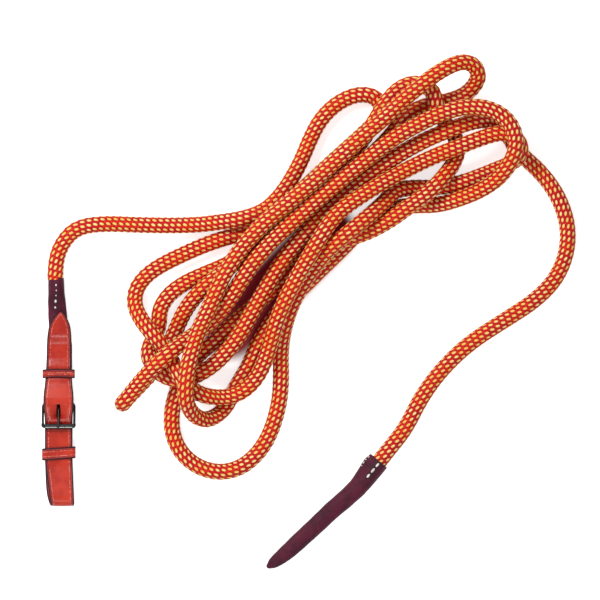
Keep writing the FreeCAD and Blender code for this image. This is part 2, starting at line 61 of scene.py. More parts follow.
# ------------------------------------------------------------------ rope route
# The same points as the CAD model's route, in millimetres.
ROUTE = [
    # lead from the strap
    (-2.5, 107, 7), (-2.5, 120, 7), (2.5, 134, 7), (13, 145, 7), (32, 148, 6.5), (64, 146.5, 6),
    (98, 146.5, 7), (119, 149, 13), (135, 151.5, 18.5), (149, 156.5, 18.5), (159, 165.5, 18.5),
    (168, 178, 16), (176, 193, 11), (182, 208, 7), (189, 222, 6), (199, 233, 6), (211, 240, 6),
    (222, 242, 6), (231, 239, 6), (235, 231, 6), (230, 221.5, 6),
    # under the top strand
    (219, 211, 6), (201, 195, 6), (183, 178, 6), (163.5, 160, 6), (150, 148, 6), (136, 141, 6),
    # outer left loop
    (121, 137.5, 6), (105, 132, 6), (88, 124.5, 6), (73, 117, 6), (62, 109, 6), (55.5, 99, 6.5),
    (55, 88, 9), (60, 78, 14), (67, 69, 19.5), (74, 61.5, 20.5), (79.5, 53.5, 21), (84, 45, 26.5),
    (89, 36.5, 31.5), (95, 29, 30.5), (104, 23.5, 27), (115, 21.5, 20), (127, 22.5, 18.5),
    (138, 29, 18.5), (146, 39, 18.5), (151, 51, 18.5), (154.5, 64, 21.5), (160, 82, 28), (167, 97.5, 31),
    (176, 114, 31), (185.5, 130, 34.5), (193, 143, 35.5), (202, 155, 32), (214, 164, 30),
    (232, 175.5, 27), (250, 185.5, 21.5), (270, 195.5, 18.5), (292, 204, 19.5), (309, 210.5, 18.5),
    (320, 213.5, 18.5), (329, 212, 18.5), (335, 205.5, 18.5), (335, 198, 18.5), (329, 191.5, 15.5),
    (319, 187.5, 10),
    # back under the right loop
    (308, 183, 6), (292, 177, 6), (273, 173.5, 6), (255, 174, 7.5), (243.5, 171.5, 11), (236, 163, 17),
    (226, 154, 26), (214, 144, 31), (204, 136, 31), (196, 129, 27.5), (188.5, 120, 21), (179, 107, 18.5),
    (170, 91, 18.5), (165, 77, 16.5), (162, 64, 10), (161, 51, 6),
    # big bottom loop
    (161.5, 35, 6), (160.5, 20, 6), (157, 5, 6), (151.5, -9, 6), (143, -21, 6), (132, -29.5, 6),
    (119, -33, 6), (106, -31, 6), (94.5, -24.5, 6), (86, -14.5, 6), (82, -2, 6), (82, 11, 6), (85, 24, 6),
    (91, 39, 6), (99.5, 51, 6), (112, 61.5, 6), (127, 75.5, 6), (145, 91, 6), (162, 106, 6),
    (172, 118, 6), (180.5, 127, 7), (190, 132.5, 11), (200, 134, 17), (212, 137, 18.5), (228, 143, 18.5),
    (242, 151, 18.5), (256, 161.5, 18.5), (268, 169.5, 19), (278, 180, 18), (286, 190, 9.5),
    (290.5, 201, 6), (288, 211, 6), (281, 220, 8), (275.5, 228, 17), (273.5, 236, 19),
    # bulge at the top
    (271.5, 243, 18.5), (266, 248, 18.5), (258.5, 249.5, 18.5), (250.5, 247.5, 18.5),
    (243.5, 242.5, 18.5), (237, 234.5, 18.5), (230, 223, 18.5), (220, 207, 18.5), (204.5, 188, 18.5),
    (187.5, 171.5, 18.5), (167, 153, 18.5), (152, 141, 18.5), (139, 128, 18.5), (126, 117.5, 18.5),
    (113, 107.5, 18.5), (101, 97, 16), (91.5, 85, 9), (85, 70.5, 6), (79, 57, 6), (69.5, 42, 6),
    (58.5, 30, 6), (50, 21.3, 6),
    # fold at the left end
    (46.7, 17.3, 11), (46.5, 17, 18.6), (50, 21, 24), (57.5, 30.5, 27.5), (69, 43.5, 34), (79, 53, 37),
    (90, 61, 28), (102, 69.5, 18.5), (112, 78, 18.5), (122, 90, 22), (131, 104, 27), (142, 120.5, 30),
    (158, 138.5, 29.5), (179, 157, 30), (203, 178, 29.5), (224, 195, 29.5), (243, 209.5, 30),
    (262, 220, 31), (281, 229, 31), (300, 232.5, 31), (315, 230, 31), (325.5, 222.5, 31), (331, 212, 31),
    (331.5, 200.5, 31), (326, 189, 28), (317.5, 179, 22), (306, 171.5, 17), (291, 165.5, 11.5),
    (275, 161, 6), (259, 161, 6), (246, 160, 6), (233, 153, 6), (219, 143, 6), (207, 130.5, 6),
    (192, 116, 6), (177, 101, 6), (163, 89, 6), (152, 72.5, 6), (143.5, 58.5, 6), (139, 46, 6),
    (132, 34.5, 6), (126.5, 25, 6), (121.5, 14.5, 6.5), (114, 7.5, 12), (105.5, 5, 20), (97.5, 9.5, 30),
    (93, 18.5, 40), (92.5, 30, 44.5), (94, 43, 43.5), (97.5, 57.5, 39), (102, 71, 33), (109.5, 86.5, 31),
    (116, 102, 31), (124.5, 118, 31), (135, 133, 31), (151, 150, 33), (168.5, 164, 34.5),
    (186.5, 179.5, 34.5), (204.5, 196.5, 34.5), (221.5, 211.5, 34), (237, 224.5, 32.5), (248, 235.5, 31),
    (260, 245.5, 31.5), (273, 255.5, 30), (285, 262.5, 27), (294.5, 265, 23), (302, 262, 19),
    (305, 254.5, 14), (301, 246.5, 10), (293, 240, 7), (280, 236, 6), (264, 233, 6), (251, 225.5, 6),
    (242.5, 213, 6), (228, 198, 6), (207, 180.5, 6), (184, 161, 6), (162, 141.5, 6), (147, 130.5, 6),
    (133, 124, 6), (118, 116, 6),
    # second left loop
    (104, 110.5, 6), (90, 104, 6), (79, 95.5, 6), (73, 85, 6), (73, 75, 6), (69.5, 65, 6),
    (64.5, 56, 11.5), (67, 46, 18.5), (74, 38.5, 18.5), (85, 34, 18.5), (97, 36, 18.5), (109, 42.5, 18.5),
    (119.5, 51.5, 18.5), (129.5, 64, 18.5), (140, 82.5, 18.5), (150, 100.5, 18.5), (162.5, 121.5, 18.5),
    (177, 139, 18.5), (197, 159.5, 18.5), (218, 177.5, 18.5), (240, 193.5, 18.5), (262, 206.5, 18.5),
    (284, 216, 21), (301, 222, 14.5), (313, 223, 7), (322, 218.5, 6), (327.5, 210.5, 6), (332, 202, 6),
    (339, 195, 6),
    # tail to the tip
    (348, 187, 6), (357, 176.5, 6), (365, 162.5, 6), (370, 145, 6), (369, 126, 6), (361, 107, 6),
    (345, 91, 6), (322, 76.5, 6), (298, 61, 6), (278, 42, 6), (263, 21.5, 6), (252, -1, 6), (239, -17, 6),
    (230, -28.5, 6),
]

curve_data = bpy.data.curves.new("rope_route", "CURVE")
curve_data.dimensions = "3D"
curve_data.resolution_u = 10
spline = curve_data.splines.new("NURBS")
spline.points.add(len(ROUTE) - 1)
for item, (x, y, z) in zip(spline.points, ROUTE):
    item.co = (x * MM, y * MM, z * MM, 1.0)
spline.order_u = 3
spline.use_endpoint_u = True
route_obj = link(bpy.data.objects.new("rope_route", curve_data))
bpy.context.view_layer.update()
line_mesh = bpy.data.meshes.new_from_object(route_obj)
line = np.array([v.co[:] for v in line_mesh.vertices])
bpy.data.objects.remove(route_obj)


def unit(rows):
    return rows / np.linalg.norm(rows, axis=-1, keepdims=True)


def walk(points):
    """How far along a polyline each of its points lies."""
    return np.concatenate([[0.0], np.cumsum(np.linalg.norm(np.diff(points, axis=0), axis=1))])


def resample(points, step):
    """Points about a step apart along a polyline, and its length."""
    walked = walk(points)
    at = np.linspace(0.0, walked[-1], int(round(walked[-1] / step)) + 1)
    return np.stack([np.interp(at, walked, points[:, k]) for k in range(points.shape[1])], 1), walked[-1]


def carried_frames(points):
    """Two normals along a line, carried without twist."""
    ahead = unit(np.gradient(points, axis=0))
    side = np.zeros_like(ahead)
    side[0] = unit(np.cross(ahead[0], (0.0, 0.0, 1.0)))
    for i in range(1, len(points)):
        side[i] = unit(side[i - 1] - ahead[i] * side[i - 1].dot(ahead[i]))
    return side, np.cross(side, ahead)


def skin(name, rings, lay, lay_name, joined=False, strips=1):
    """A closed tube over rings of points; lay gives each ring point's UV, with one more for the seam."""
    count, around = rings.shape[:2]
    spans = count if joined else count - 1
    i = np.arange(spans)[:, None] + 0 * np.arange(around)[None, :]
    j = np.arange(around)[None, :] + 0 * i
    after = (i + 1) % count
    beside = (j + 1) % around
    quads = np.stack([i * around + j, i * around + beside, after * around + beside, after * around + j], -1)
    lay_rows = np.stack([lay[i, j], lay[i, j + 1], lay[i + 1, j + 1], lay[i + 1, j]], 2)
    per = spans / strips
    row = np.minimum((i / per).astype(int), strips - 1)
    u0 = (i - row * per) / per
    u1 = (i + 1 - row * per) / per
    v0 = (row + 0.02 + 0.96 * j / around) / strips
    v1 = (row + 0.02 + 0.96 * (j + 1) / around) / strips
    bake_rows = np.stack([np.stack([u0, v0], -1), np.stack([u0, v1], -1), np.stack([u1, v1], -1),
                          np.stack([u1, v0], -1)], 2) * 0.98 + 0.01
    quads = quads.reshape(-1, 4)
    flat = rings.reshape(-1, 3)
    a, b, c, d = (flat[quads[:, k]] for k in range(4))
    volume = np.einsum("ij,ij->i", a, np.cross(b, c) + np.cross(c, d)).sum()
    order = [0, 1, 2, 3] if volume > 0 else [3, 2, 1, 0]
    loops = quads[:, order].ravel()
    starts = np.arange(len(quads)) * 4
    if not joined:
        first = np.arange(around)
        last = first + (count - 1) * around
        ends = [first[::-1], last] if volume > 0 else [first, last[::-1]]
        loops = np.concatenate([loops] + ends)
        starts = np.concatenate([starts, [len(quads) * 4, len(quads) * 4 + around]])
    mesh = bpy.data.meshes.new(name)
    mesh.vertices.add(len(flat))
    mesh.vertices.foreach_set("co", flat.ravel())
    mesh.loops.add(len(loops))
    mesh.loops.foreach_set("vertex_index", loops.astype(np.int32))
    mesh.polygons.add(len(starts))
    mesh.polygons.foreach_set("loop_start", starts.astype(np.int32))
    mesh.update(calc_edges=True)
    mesh.validate()
    for layer_name, rows in ((lay_name, lay_rows), ("OFBake", bake_rows)):
        layer = mesh.uv_layers.new(name=layer_name)
        values = rows.reshape(-1, 4, 2)[:, order].reshape(-1, 2)
        if not joined:
            values = np.concatenate([values, np.tile(values[:1], (2 * around, 1))])
        layer.data.foreach_set("uv", values.astype(np.float32).ravel())
    mesh.polygons.foreach_set("use_smooth", np.ones(len(mesh.polygons), bool))
    return mesh


# ------------------------------------------------------------------ braid
PICK_ROWS = 10                # yellow picks round the rope
PICK_LONG = 4.70 * MM         # one pick to the next, along the rope
AROUND = 40
PER_PICK = 6
LEAN = 0.16                   # how far a row of picks lags its neighbour, in picks
CORE_R = 5.20 * MM
RELIEF = 0.88 * MM
YELLOW = dict(shift=0.0, lean=-0.58, long_r=0.56, wide_r=0.31)
CRIMSON = dict(shift=0.5, lean=0.60, long_r=0.44, wide_r=0.30)

rope_line, rope_long = resample(line, PICK_LONG / PER_PICK)
side, up = carried_frames(rope_line)
ring_count = len(rope_line)
around_u = np.arange(AROUND + 1) / AROUND
pick_u, pick_v = np.meshgrid(around_u, np.arange(ring_count) / PER_PICK)


def pick_height(u, v):
    """Relief of the braid, 0 in the grooves and 1 on a pick's crown."""
    x = u * PICK_ROWS
    y = v - x * LEAN
    best = np.zeros_like(x)
    for pick, tall in ((YELLOW, 1.0), (CRIMSON, 0.78)):
        fx = (x + pick["shift"]) % 1.0 - 0.5
        fy = (y + pick["shift"]) % 1.0 - 0.5
        px = fx * math.cos(pick["lean"]) - fy * math.sin(pick["lean"])
        py = fx * math.sin(pick["lean"]) + fy * math.cos(pick["lean"])
        far = (px / pick["wide_r"]) ** 2 + (py / pick["long_r"]) ** 2
        best = np.maximum(best, tall * np.sqrt(np.clip(1.0 - far, 0.0, 1.0)))
    return best


turn = (pick_u[:, :AROUND] * 2.0 * math.pi)[..., None]
radius = (CORE_R + RELIEF * pick_height(pick_u[:, :AROUND], pick_v[:, :AROUND]))[..., None]
braid_co = rope_line[:, None, :] + radius * (np.cos(turn) * side[:, None, :] + np.sin(turn) * up[:, None, :])
braid_co[..., 2] = np.maximum(braid_co[..., 2], 0.1 * MM)
rope_mesh = skin("rope", braid_co, np.stack([pick_u, pick_v], -1), "braid", strips=11)
rope = link(bpy.data.objects.new("braided_rope", rope_mesh))
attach(rope, "leash")
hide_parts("rope")


# ------------------------------------------------------------------ materials
def new_material(name):
    mat = bpy.data.materials.new(name)
    mat.use_nodes = True
    return mat, mat.node_tree, mat.node_tree.nodes["Principled BSDF"]


def feed(tree, socket, value):
    if isinstance(value, tuple):
        socket.default_value = (*value, 1.0)
    elif isinstance(value, (int, float)):
        socket.default_value = value
    else:
        tree.links.new(value, socket)


def maths(tree, op, a, b=None, clamp=False):
    node = tree.nodes.new("ShaderNodeMath")
    node.operation = op
    node.use_clamp = clamp
    feed(tree, node.inputs[0], a)
    if b is not None:
        feed(tree, node.inputs[1], b)
    return node.outputs[0]


def mask(tree, value, low, high):
    """0 below low, 1 above high, smooth between; falls where low is above high."""
    node = tree.nodes.new("ShaderNodeMapRange")
    node.interpolation_type = "SMOOTHSTEP"
    feed(tree, node.inputs["Value"], value)
    node.inputs["From Min"].default_value = min(low, high)
    node.inputs["From Max"].default_value = max(low, high)
    node.inputs["To Min"].default_value = 0.0 if low < high else 1.0
    node.inputs["To Max"].default_value = 1.0 if low < high else 0.0
    return node.outputs[0]


def mix(tree, fac, a, b):
    node = tree.nodes.new("ShaderNodeMix")
    node.data_type = "RGBA"
    for socket, value in ((node.inputs[0], fac), (node.inputs[6], a), (node.inputs[7], b)):
        feed(tree, socket, value)
    return node.outputs[2]


def noise(tree, vector, scale, detail=2.0, rough=0.5):
    node = tree.nodes.new("ShaderNodeTexNoise")
    node.inputs["Scale"].default_value = scale
    node.inputs["Detail"].default_value = detail
    node.inputs["Roughness"].default_value = rough
    tree.links.new(vector, node.inputs["Vector"])
    return node.outputs["Fac"]


def uv_parts(tree, name):
    uv = tree.nodes.new("ShaderNodeUVMap")
    uv.uv_map = name
    split = tree.nodes.new("ShaderNodeSeparateXYZ")
    tree.links.new(uv.outputs[0], split.inputs[0])
    return split.outputs[0], split.outputs[1]


def place(tree):
    return tree.nodes.new("ShaderNodeNewGeometry").outputs["Position"]


def bumped(tree, shader, height, strength, deep):
    node = tree.nodes.new("ShaderNodeBump")
    node.inputs["Strength"].default_value = strength
    node.inputs["Distance"].default_value = deep
    tree.links.new(height, node.inputs["Height"])
    tree.links.new(node.outputs[0], shader.inputs["Normal"])


def braid_material():
    """Yellow and crimson picks over a deep red ground, with painted shade in the grooves round the yellow
    picks.
    """
    mat, tree, shader = new_material("braid")
    u, v = uv_parts(tree, "braid")
    x = maths(tree, "MULTIPLY", u, float(PICK_ROWS))
    y = maths(tree, "SUBTRACT", v, maths(tree, "MULTIPLY", x, LEAN))

    def oval(pick, grow):
        fx = maths(tree, "SUBTRACT", maths(tree, "FRACT", maths(tree, "ADD", x, pick["shift"] + 10.0)), 0.5)
        fy = maths(tree, "SUBTRACT", maths(tree, "FRACT", maths(tree, "ADD", y, pick["shift"] + 10.0)), 0.5)
        c, s = math.cos(pick["lean"]), math.sin(pick["lean"])
        px = maths(tree, "SUBTRACT", maths(tree, "MULTIPLY", fx, c), maths(tree, "MULTIPLY", fy, s))
        py = maths(tree, "ADD", maths(tree, "MULTIPLY", fx, s), maths(tree, "MULTIPLY", fy, c))
        share_x = maths(tree, "DIVIDE", px, pick["wide_r"] * grow)
        share_y = maths(tree, "DIVIDE", py, pick["long_r"] * grow)
        qx = maths(tree, "POWER", maths(tree, "ABSOLUTE", share_x), 2.0)
        qy = maths(tree, "POWER", maths(tree, "ABSOLUTE", share_y), 2.0)
        return maths(tree, "SQRT", maths(tree, "ADD", qx, qy)), px, py

    yellow_far, yellow_x, yellow_y = oval(YELLOW, 0.80)
    red_far, red_x, _ = oval(CRIMSON, 0.95)
    spread = noise(tree, place(tree), 70.0, 2.0)
    fine = noise(tree, place(tree), 1100.0, 2.0)
    strands = maths(tree, "SINE", maths(tree, "MULTIPLY", yellow_x, 62.0))
    red_strands = maths(tree, "SINE", maths(tree, "MULTIPLY", red_x, 62.0))
    core = mix(tree, mask(tree, spread, 0.35, 0.68), (1.0, 0.60, 0.12), (1.0, 0.84, 0.34))
    warm = mask(tree, maths(tree, "ADD", yellow_far, maths(tree, "MULTIPLY", yellow_y, 0.55)), 0.45, 1.12)
    yellow = mix(tree, warm, core, (0.95, 0.24, 0.03))
    fibre = maths(tree, "MULTIPLY", mask(tree, strands, 0.35, 1.0), 0.28)
    yellow = mix(tree, fibre, yellow, (0.86, 0.42, 0.08))
    crimson = mix(tree, mask(tree, spread, 0.42, 0.60), (0.82, 0.012, 0.004), (0.62, 0.0, 0.014))
    red_fibre = maths(tree, "MULTIPLY", mask(tree, red_strands, 0.2, 1.0), 0.3)
    crimson = mix(tree, red_fibre, crimson, (0.35, 0.0, 0.01))
    ground = mix(tree, mask(tree, fine, 0.35, 0.65), (0.36, 0.0, 0.002), (0.68, 0.002, 0.002))
    colour = mix(tree, mask(tree, red_far, 1.02, 0.80), ground, crimson)
    # painted shade: a near-black ring round each yellow pick, where it dips into the groove
    colour = mix(tree, mask(tree, yellow_far, 1.26, 1.06), colour, (0.13, 0.0, 0.002))
    colour = mix(tree, mask(tree, yellow_far, 1.04, 0.90), colour, yellow)
    tree.links.new(colour, shader.inputs["Base Color"])
    shader.inputs["Roughness"].default_value = 0.58
    shader.inputs["Specular IOR Level"].default_value = 0.22
    shader.inputs["Sheen Weight"].default_value = 0.08
    shader.inputs["Sheen Roughness"].default_value = 0.4
    shader.inputs["Sheen Tint"].default_value = (1.0, 0.45, 0.35, 1.0)
    threads = maths(tree, "ADD", maths(tree, "MULTIPLY", maths(tree, "ADD", strands, red_strands), 0.5), fine)
    bumped(tree, shader, threads, 0.35, 0.15 * MM)
    return mat


def grain(tree, scale):
    cells = tree.nodes.new("ShaderNodeTexVoronoi")
    cells.feature = "DISTANCE_TO_EDGE"
    cells.inputs["Scale"].default_value = scale
    tree.links.new(place(tree), cells.inputs["Vector"])
    return mask(tree, cells.outputs["Distance"], 0.0, 0.25)


def strap_material():
    """Terracotta bridle leather: dark edges, a crease and a pale dotted line by each, glossier patches."""
    mat, tree, shader = new_material("strap_leather")
    edge, _ = uv_parts(tree, "lay")
    broad = noise(tree, place(tree), 55.0, 3.0, 0.6)
    small = noise(tree, place(tree), 420.0, 3.0, 0.6)
    tone = mix(tree, mask(tree, broad, 0.30, 0.72), (0.38, 0.014, 0.006), (0.58, 0.036, 0.014))
    tone = mix(tree, maths(tree, "MULTIPLY", mask(tree, small, 0.45, 0.8), 0.45), tone, (0.40, 0.030, 0.022))
    dots = mask(tree, noise(tree, place(tree), 900.0, 1.0), 0.44, 0.58)
    line = maths(tree, "MULTIPLY", mask(tree, edge, 2.05, 2.4), mask(tree, edge, 3.1, 2.7))
    dotted = maths(tree, "MULTIPLY", maths(tree, "MULTIPLY", line, dots), 0.55)
    tone = mix(tree, dotted, tone, (0.86, 0.34, 0.26))
    crease = maths(tree, "MULTIPLY", mask(tree, edge, 1.35, 1.7), mask(tree, edge, 2.2, 1.9))
    tone = mix(tree, maths(tree, "MULTIPLY", crease, 0.85), tone, (0.16, 0.006, 0.010))
    pale = maths(tree, "MULTIPLY", mask(tree, edge, 0.45, 0.8), mask(tree, edge, 1.4, 1.1))
    tone = mix(tree, maths(tree, "MULTIPLY", pale, 0.35), tone, (0.74, 0.16, 0.13))
    tone = mix(tree, mask(tree, edge, 1.45, 0.85), tone, (0.022, 0.001, 0.007))
    tree.links.new(tone, shader.inputs["Base Color"])
    polish = maths(tree, "ADD", maths(tree, "MULTIPLY", mask(tree, broad, 0.35, 0.7), 0.14), 0.24)
    polish = maths(tree, "ADD", maths(tree, "MULTIPLY", mask(tree, edge, 1.45, 0.85), 0.4), polish)
    tree.links.new(polish, shader.inputs["Roughness"])
    shader.inputs["Specular IOR Level"].default_value = 0.28
    height = maths(tree, "ADD", maths(tree, "MULTIPLY", grain(tree, 1500.0), 0.4), small)
    bumped(tree, shader, height, 0.30, 0.12 * MM)
    return mat


def cover_material():
    """Thin burgundy leather, drawn tight over the rope: mottled, with pale speckles."""
    mat, tree, shader = new_material("dark_leather")
    broad = noise(tree, place(tree), 80.0, 3.0, 0.6)
    small = noise(tree, place(tree), 650.0, 4.0, 0.65)
    tone = mix(tree, mask(tree, broad, 0.30, 0.70), (0.040, 0.003, 0.014), (0.095, 0.007, 0.026))
    tone = mix(tree, maths(tree, "MULTIPLY", mask(tree, small, 0.55, 0.78), 0.30), tone, (0.26, 0.06, 0.12))
    tree.links.new(tone, shader.inputs["Base Color"])
    shader.inputs["Roughness"].default_value = 0.52
    shader.inputs["Specular IOR Level"].default_value = 0.18
    height = maths(tree, "ADD", maths(tree, "MULTIPLY", grain(tree, 1300.0), 0.6), small)
    bumped(tree, shader, height, 0.55, 0.18 * MM)
    return mat


def metal_material(name, gloss, rough):
    """Blackened steel with a hard gloss, rubbed a little in random spots."""
    mat, tree, shader = new_material(name)
    worn = noise(tree, place(tree), 700.0, 3.0, 0.6)
    tone = mix(tree, mask(tree, worn, 0.50, 0.75), (0.002, 0.002, 0.003), (0.006, 0.006, 0.008))
    tree.links.new(tone, shader.inputs["Base Color"])
    tree.links.new(maths(tree, "ADD", maths(tree, "MULTIPLY", worn, 0.08), rough), shader.inputs["Roughness"])
    shader.inputs["Specular IOR Level"].default_value = gloss
    bumped(tree, shader, worn, 0.03, 0.1 * MM)
    return mat


def thread_material():
    """Waxed linen thread, a little soiled."""
    mat, tree, shader = new_material("thread")
    soil = noise(tree, place(tree), 900.0, 2.0)
    tone = mix(tree, mask(tree, soil, 0.35, 0.75), (0.90, 0.84, 0.80), (0.70, 0.50, 0.46))
    tree.links.new(tone, shader.inputs["Base Color"])
    shader.inputs["Roughness"].default_value = 0.65
    bumped(tree, shader, noise(tree, place(tree), 3000.0, 2.0), 0.3, 0.1 * MM)
    return mat


def painted_hole_shade_material():
    """Painted shade of the needle hole round a stitch: a near-black patch."""
    mat, tree, shader = new_material("needle_hole_painted_shade")
    tone = mix(tree, noise(tree, place(tree), 1500.0, 2.0), (0.006, 0.001, 0.003), (0.020, 0.003, 0.008))
    tree.links.new(tone, shader.inputs["Base Color"])
    shader.inputs["Roughness"].default_value = 0.9
    return mat


strap_mat = strap_material()
cover_mat = cover_material()
metal_mat = metal_material("black_metal", 0.25, 0.16)
roller_mat = metal_material("roller_metal", 0.7, 0.06)
thread_mat = thread_material()
hole_shade_mat = painted_hole_shade_material()
rope_mesh.materials.append(braid_material())

# ------------------------------------------------------------------ leather bands
# The CAD model's strap, in millimetres: its side view is straight runs joined by arcs.
THICK = 2.6
WRAP = 1.4                    # leather of the keepers
LAYER_GAP = 0.3
HEEL_Y, HEEL_Z = 17.5, 6.1
WIRE_R = 1.15
FRAME_REACH = 17.3
FRAME_TILT = math.radians(11.3)
FRONT_Y = HEEL_Y - FRAME_REACH * math.cos(FRAME_TILT)
FRONT_Z = HEEL_Z + FRAME_REACH * math.sin(FRAME_TILT)
ROLLER_R = 2.0
CHAPE = 1.5                   # leather of the loop that holds the buckle
CHAPE_GAP = 0.2
SLEEVE_FLAT = 2.8             # thickness of the sleeve's flat end
FOLD_Y = -57.5
FOLD_R = 4.05
TIP_Y = 84.0
LOW = THICK / 2.0
RAISED = LOW + WRAP + LAYER_GAP
LYING = RAISED + THICK + LAYER_GAP
UNDER = FRONT_Z - ROLLER_R - 1.5 * LAYER_GAP - LOW
OVER = HEEL_Z + WIRE_R + CHAPE_GAP + CHAPE + LAYER_GAP + LOW
BESIDE = THICK + LAYER_GAP + WRAP + LAYER_GAP + LOW
FLAT = THICK + LAYER_GAP + LOW
STEP = THICK + LAYER_GAP + SLEEVE_FLAT + LAYER_GAP + LOW
SIDE_VIEW = [
    (86, LOW, 0), (-3, LOW, 12), (-9, RAISED, 12), (-28.5, RAISED, 12), (-40.5, LOW, 12),
    (FOLD_Y + LOW, LOW, FOLD_R), (FOLD_Y + LOW, LOW + 2 * FOLD_R, FOLD_R), (-50.2, LOW + 2 * FOLD_R, 12),
    (-28.5, LYING, 12), (FRONT_Y - 6, LYING, 12), (FRONT_Y + 1.5, UNDER, 9), (14.5, OVER, 9),
    (20.5, OVER, 12), (31.2, BESIDE + 2.1, 12), (35, BESIDE, 9), (44, BESIDE, 9), (50, FLAT, 9),
    (60.8, FLAT, 9), (67, STEP, 9), (TIP_Y, STEP + 0.3, 0),
]
# Half width and sideways lean of each layer, at places along the strap (both in mm).
BACK_HALF = [(-57.5, 8.5), (-45, 9.4), (0, 9.5), (62, 9.2), (71, 6.1), (86, 6.0)]
FRONT_HALF = [(-57.5, 8.5), (-45, 9.2), (-25, 10.0), (9, 10.1), (13, 11.0), (24, 10.9), (31, 9.9),
              (46, 9.0), (65, 8.9), (72, 8.0), (75, 7.1), (78, 5.6), (81, 3.6), (83.2, 1.7), (84, 0.5)]
BACK_LEAN = [(-57.5, 2.6), (-52, 0.6), (-40, -0.2), (-20, -0.8), (0, 0.0), (60, 0.4), (86, -0.6)]
FRONT_LEAN = [(-57.5, 3.0), (-40, 1.3), (-24, 0.0), (45, 0.0), (60, 0.3), (75, 0.8), (84, 1.6)]


def rounded(corners):
    """Points along straight runs joined by tangent arcs; each corner is (y, z, radius)."""
    pts = [np.array(c[:2], float) for c in corners]
    out = [pts[0]]
    for i in range(1, len(pts) - 1):
        back, ahead = unit(pts[i - 1] - pts[i]), unit(pts[i + 1] - pts[i])
        half = (math.pi - math.acos(max(-1.0, min(1.0, back.dot(ahead))))) / 2.0
        cut = corners[i][2] * math.tan(half)
        middle = pts[i] + unit(back + ahead) * corners[i][2] / math.cos(half)
        start, stop = pts[i] + back * cut - middle, pts[i] + ahead * cut - middle
        for t in np.linspace(0.0, 1.0, 9):
            spoke = start * (1 - t) + stop * t
            out.append(middle + unit(spoke) * corners[i][2])
    out.append(pts[-1])
    return np.array(out)


def at_places(pairs, y):
    return np.interp(y, [p[0] for p in pairs], [p[1] for p in pairs])


def smooth(values, reach):
    pad = np.pad(values, reach, mode="edge")
    return np.convolve(pad, np.ones(2 * reach + 1) / (2 * reach + 1), mode="valid")


# How far each point of a band's section lies from the nearer edge; the leather's shader reads it too.
EDGE_STEPS = [0.0, 0.12, 0.35, 0.7, 1.1, 1.5, 1.8, 2.1, 2.5, 3.0]
NARROW = 3.6                  # a half width under this draws the steps closer and has no creased line


def band_rings(centre, out, across, half, thick, crease=0.28, crown=0.25):
    """Rings round a leather band: bevelled edges, a creased line near both edges, a soft crown."""
    rings, lays = [], []
    walked = walk(centre)
    for c, o, a, h, s in zip(centre, out, across, half, walked):
        steps = EDGE_STEPS if h > NARROW else [d * h / NARROW for d in EDGE_STEPS]
        top = [(-h + d, d) for d in steps] + [(0.0, h)] + [(h - d, d) for d in reversed(steps)]
        ring, lay = [], []
        for x, d in top:
            bevel = min(thick * 0.45, 0.9)
            drop = 0.0 if d >= bevel else bevel - math.sqrt(max(0.0, bevel ** 2 - (bevel - d) ** 2))
            groove = crease * math.exp(-((d - 1.8) / 0.32) ** 2) if h > NARROW else 0.0
            swell = crown * (x / max(h, 0.1)) ** 2
            ring.append(c + a * x + o * (thick / 2.0 - drop - groove - swell))
            lay.append((d, s))
        for x, d in [(h - 0.35, 0.35), (0.0, h), (0.35 - h, 0.35)]:
            ring.append(c + a * x - o * (thick / 2.0))
            lay.append((d, s))
        rings.append(ring)
        lays.append(lay + lay[:1])
    return np.array(rings), np.array(lays)


def add_piece(name, mesh, node, body="leash"):
    piece = link(bpy.data.objects.new(name, mesh))
    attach(piece, body)
    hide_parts(node)
    dark = node in ("sleeve", "tip_cover")
    mesh.materials.append(cover_mat if dark else strap_mat)
    return piece


# strap
STRAP_STEP = 0.55
side_line, _ = resample(rounded(SIDE_VIEW), STRAP_STEP)
ahead_yz = unit(np.gradient(side_line, axis=0))
fold_at = int(np.argmin(side_line[:, 0]))
is_front = np.arange(len(side_line)) > fold_at
strap_y = side_line[:, 0]
lean = smooth(np.where(is_front, at_places(FRONT_LEAN, strap_y), at_places(BACK_LEAN, strap_y)), 5)
half = np.where(is_front, at_places(FRONT_HALF, strap_y), at_places(BACK_HALF, strap_y))
half = np.where(strap_y < 70, smooth(half, 6), half)
centre = np.column_stack([lean, side_line])
out = np.column_stack([np.zeros(len(side_line)), -ahead_yz[:, 1], ahead_yz[:, 0]])
across = np.tile((1.0, 0.0, 0.0), (len(side_line), 1))
strap_co, strap_lay = band_rings(centre, out, across, half, THICK)
strap_mesh = skin("strap", strap_co * MM, strap_lay, "lay", strips=2)
strap_obj = add_piece("leather_strap", strap_mesh, "strap")

# the prong's hole: a keyhole through the front layer, long enough for the prong to swing
HOLE_Y = 9.0                  # where the two halves of the hole meet
HOLE_HALF = 1.6
HOLE_TO_HEEL = 7.8
HOLE_TO_FRONT = 3.2
HOLE_SQUARE = 0.35            # below 1, the half by the heel bar is squarer than an oval
hole_ring = np.linspace(0.0, 2.0 * math.pi, 37)[:-1]
heelward = np.sin(hole_ring) > 0.0
hole_x = np.cos(hole_ring)
hole_x = HOLE_HALF * np.where(heelward, np.sign(hole_x) * np.abs(hole_x) ** HOLE_SQUARE, hole_x)
hole_y = HOLE_Y + np.where(heelward, HOLE_TO_HEEL, HOLE_TO_FRONT) * np.sin(hole_ring)
hole = [np.column_stack([hole_x, hole_y, np.full(len(hole_ring), z)]) for z in (FLAT + 0.6, OVER + 6.0)]
hole_lay = np.zeros((2, len(hole_ring) + 1, 2))
cutter = link(bpy.data.objects.new("cutter", skin("cutter", np.array(hole) * MM, hole_lay, "lay")))
carve = strap_obj.modifiers.new("hole", "BOOLEAN")
carve.operation = "DIFFERENCE"
carve.solver = "EXACT"
carve.object = cutter
bpy.context.view_layer.update()
pierced = bpy.data.meshes.new_from_object(strap_obj.evaluated_get(bpy.context.evaluated_depsgraph_get()))
